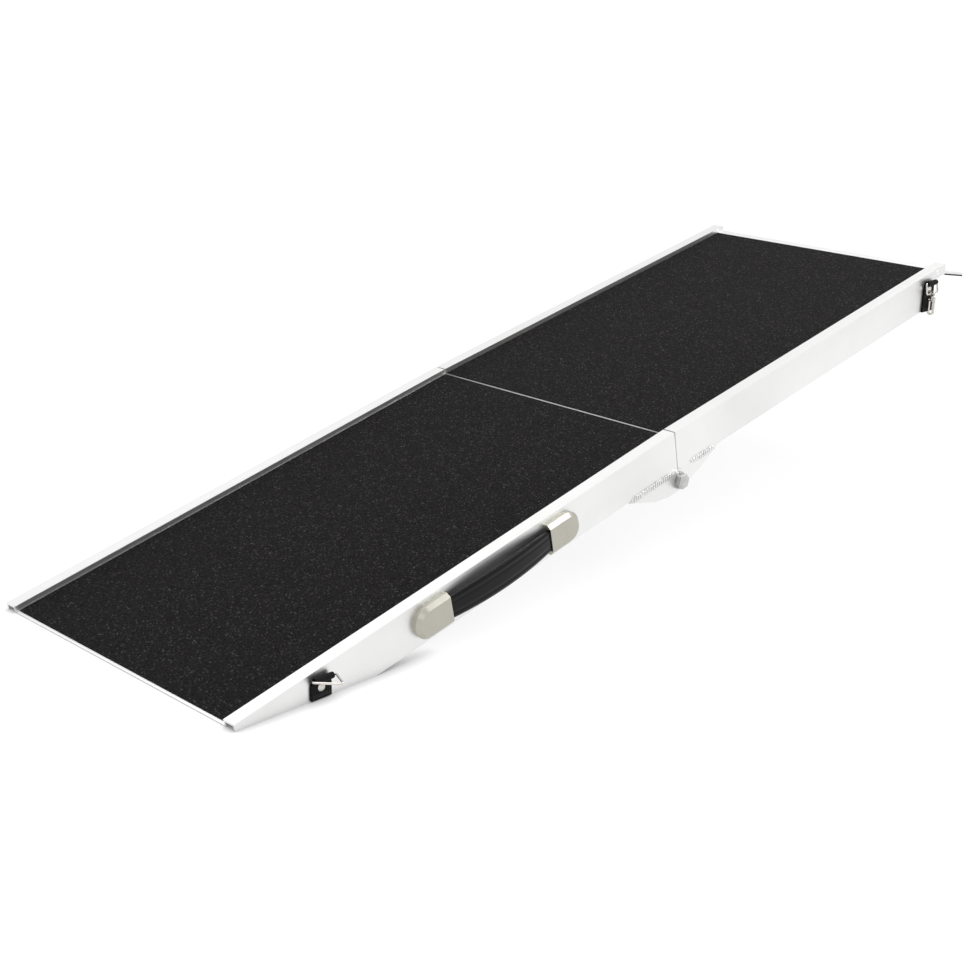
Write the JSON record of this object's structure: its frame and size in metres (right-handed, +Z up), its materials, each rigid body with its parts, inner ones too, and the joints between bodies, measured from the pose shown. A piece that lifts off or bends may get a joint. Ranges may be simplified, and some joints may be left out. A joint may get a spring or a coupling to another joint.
{
  "type": "dog ramp",
  "caption": "Two-panel folding dog ramp with black grip tape decks, raised aluminium side curbs, bevelled toe, bent rest lip, carrying handle, strap rings and snap hook.",
  "frame": {"origin": "middle of the toe edge's ground face, on the ground", "axes": "+Z up, +X up the ramp from the toe towards the lip, +Y to the left when walking up; the ramp is stored open, sloping up by its toe bevel"},
  "size_m": [1.2453, 0.4223, 0.2734],
  "materials": {
    "satin_aluminium": "satin",
    "deck_sheet": "satin",
    "grip_tape": "rough",
    "zinc_steel": "satin",
    "nylon": "matte",
    "rubber": "matte",
    "spring_steel": "satin",
    "ridged_grip": "gloss",
    "handle_cap": "satin",
    "webbing": "matte",
    "rivet": "satin",
    "plated_wire": "polished"
  },
  "bodies": {
    "upper_panel": {"upper_deck": "deck_sheet", "upper_grip_tape": "grip_tape", "upper_rail_right": "satin_aluminium", "upper_rail_left": "satin_aluminium", "upper_cross_tube_1": "satin_aluminium", "upper_cross_tube_2": "satin_aluminium", "upper_cross_tube_3": "satin_aluminium", "upper_gusset_right": "satin_aluminium", "upper_gusset_left": "satin_aluminium", "upper_gusset_welds": "satin_aluminium", "lip": "satin_aluminium", "lip_rivets": "rivet", "end_block_right": "satin_aluminium", "end_block_left": "satin_aluminium", "end_rivets": "rivet", "upper_tab": "webbing", "upper_tab_rivet": "rivet", "upper_deck_rivets": "rivet", "lip_pad": "rubber"},
    "lower_panel": {"lower_deck": "deck_sheet", "lower_grip_tape": "grip_tape", "lower_rail_right": "satin_aluminium", "lower_rail_left": "satin_aluminium", "toe_edge": "satin_aluminium", "lower_cross_tube_1": "satin_aluminium", "lower_cross_tube_2": "satin_aluminium", "lower_cross_tube_3": "satin_aluminium", "lower_gusset_right": "satin_aluminium", "lower_gusset_left": "satin_aluminium", "lower_gusset_welds": "satin_aluminium", "hinge_bolts": "zinc_steel", "hinge_washers": "zinc_steel", "hinge_spacers": "nylon", "hinge_lock_nuts": "zinc_steel", "handle_cap_lower": "handle_cap", "handle_cap_upper": "handle_cap", "handle_grip": "ridged_grip", "handle_core": "spring_steel", "handle_screws": "zinc_steel", "lower_tab": "webbing", "lower_tab_rivet": "rivet", "lower_deck_rivets": "rivet"},
    "lower_ring": {"lower_ring": "plated_wire"},
    "upper_ring": {"upper_ring": "plated_wire"},
    "hook_eye": {"hook_eye": "plated_wire"},
    "hook_body": {"hook_body": "plated_wire", "hook_gate_pin": "plated_wire"},
    "hook_gate": {"hook_gate": "plated_wire"}
  },
  "joints": [
    {"name": "fold", "type": "hinge", "parent": "upper_panel", "child": "lower_panel", "pos_m": [0.61332, 0, 0.09511], "axis": [0, -1, 0], "range_deg": [-1.5, 178.4]},
    {"name": "lower_ring_swing", "type": "hinge", "parent": "lower_panel", "child": "lower_ring", "pos_m": [0.08021, -0.196, 0.02256], "axis": [1, 0, 0], "range_deg": [-70, 92]},
    {"name": "upper_ring_swing", "type": "hinge", "parent": "upper_panel", "child": "upper_ring", "pos_m": [1.13436, -0.196, 0.2539], "axis": [1, 0, 0], "range_deg": [-150, 0]},
    {"name": "hook_swing", "type": "hinge", "parent": "upper_ring", "child": "hook_eye", "pos_m": [1.13436, -0.19831, 0.24009], "axis": [1, 0, 0], "range_deg": [-100, 0]},
    {"name": "hook_swivel", "type": "hinge", "parent": "hook_eye", "child": "hook_body", "pos_m": [1.13436, -0.19831, 0.24009], "axis": [0, 0, -1], "continuous": true},
    {"name": "gate_open", "type": "hinge", "parent": "hook_body", "child": "hook_gate", "pos_m": [1.13436, -0.20191, 0.22814], "axis": [1, 0, 0], "range_deg": [0, 20], "stiffness_Nm_per_rad": 0.0004}
  ]
}
